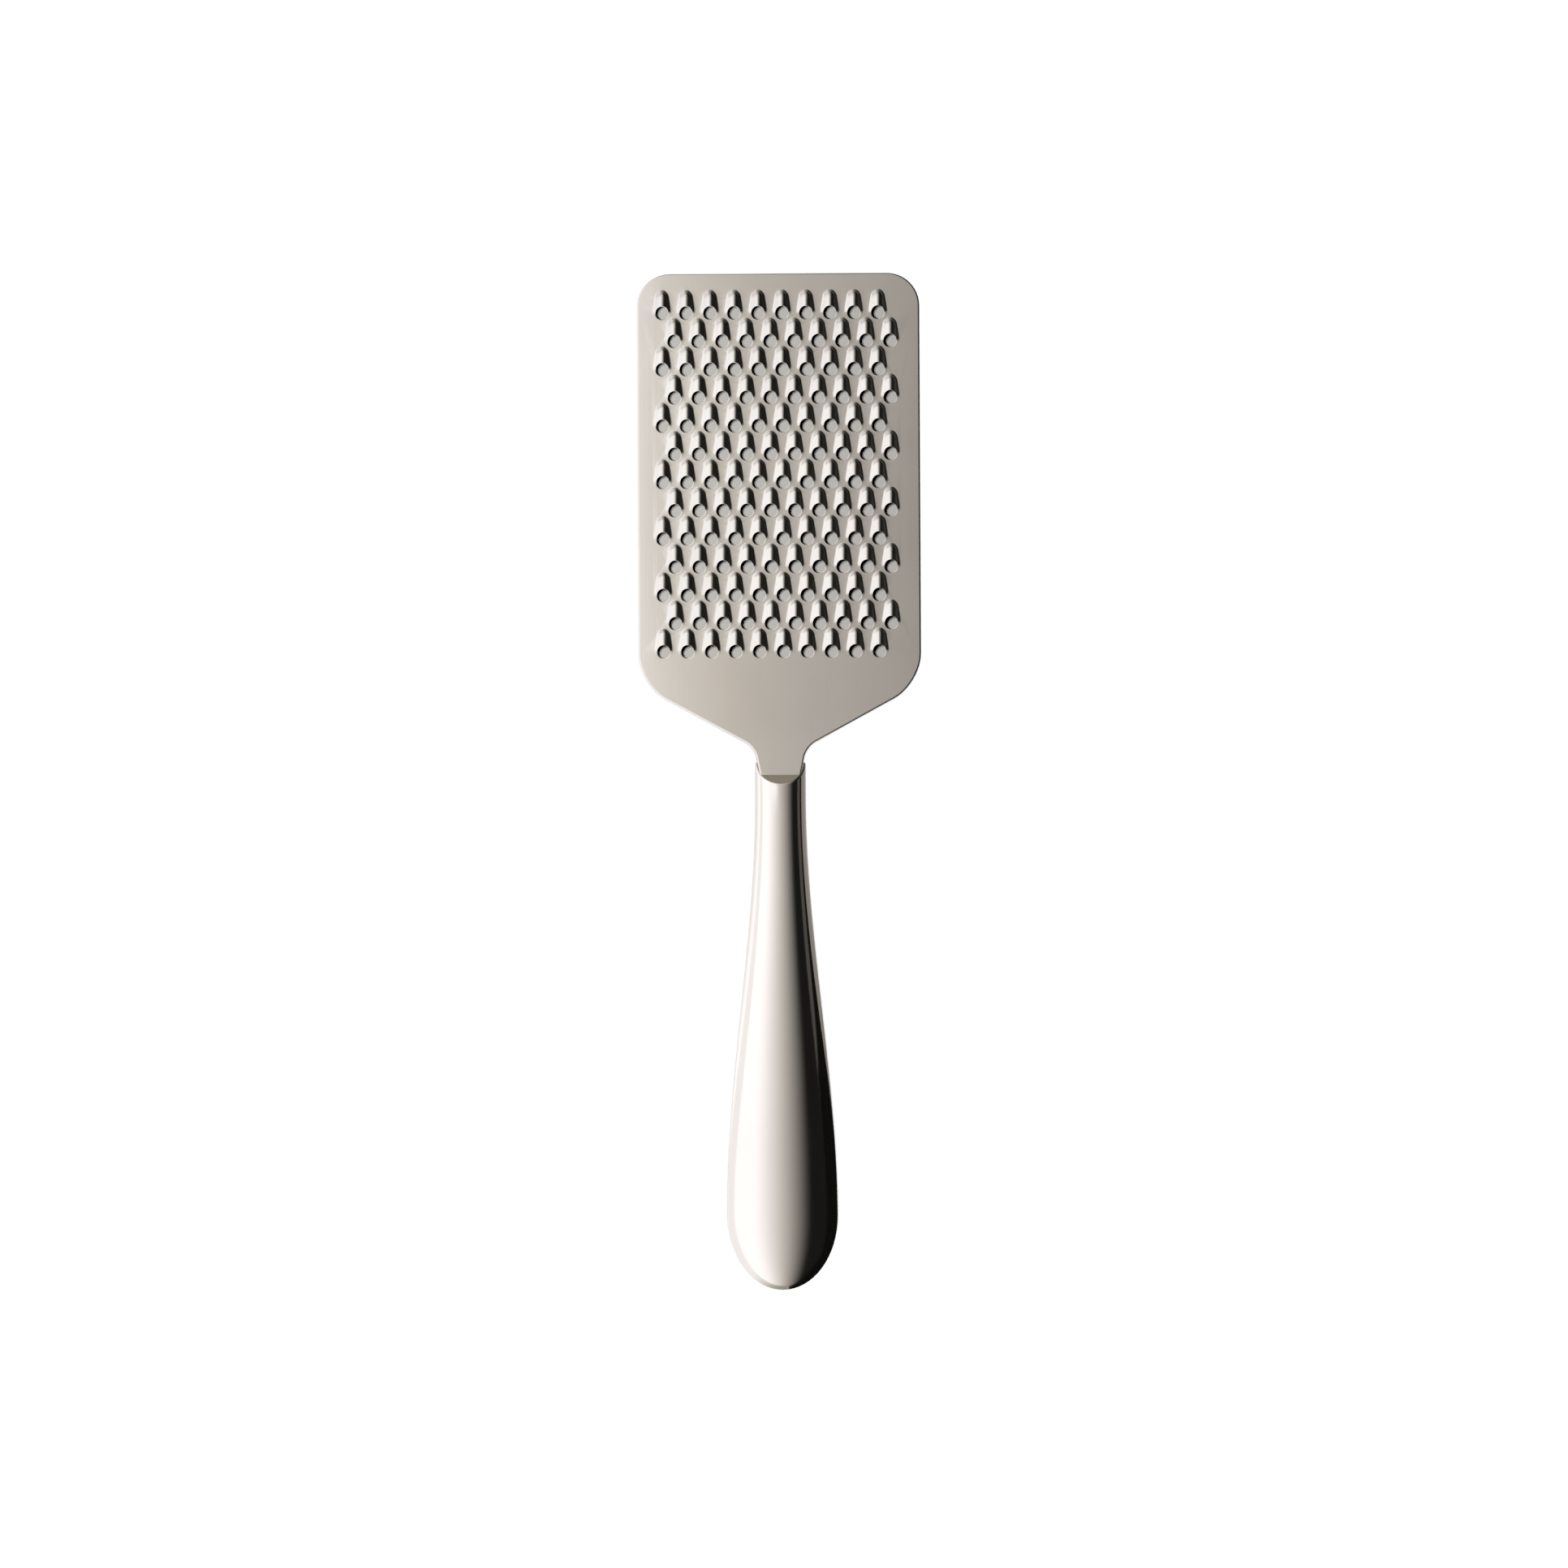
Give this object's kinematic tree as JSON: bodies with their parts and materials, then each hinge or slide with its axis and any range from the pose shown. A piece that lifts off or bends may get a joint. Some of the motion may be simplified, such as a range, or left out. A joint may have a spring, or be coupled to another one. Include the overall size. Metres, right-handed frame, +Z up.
{
  "type": "cheese grater",
  "caption": "Flat hand grater: a stainless sheet with staggered pressed teeth, sloping shoulders and a narrow neck, set in a hollow steel handle that swells towards its rounded end.",
  "frame": {"origin": "under the middle of the grater's length and width, at the height of the lowest point of the handle", "axes": "+Y along the grater towards the front edge of the plate, +Z up out of the toothed side, +X across the plate"},
  "size_m": [0.0764, 0.275, 0.0114],
  "materials": {
    "plate_steel": "satin rolled stainless sheet",
    "handle_steel": "stainless brushed along the handle",
    "plug_steel": "ground stainless face",
    "potting_resin": "cast filled epoxy, hidden"
  },
  "bodies": {
    "root": {"grater_plate": "plate_steel", "handle_upper_shell": "handle_steel", "handle_lower_shell": "handle_steel", "mouth_plug": "plug_steel", "tang_filler": "potting_resin"}
  },
  "joints": []
}
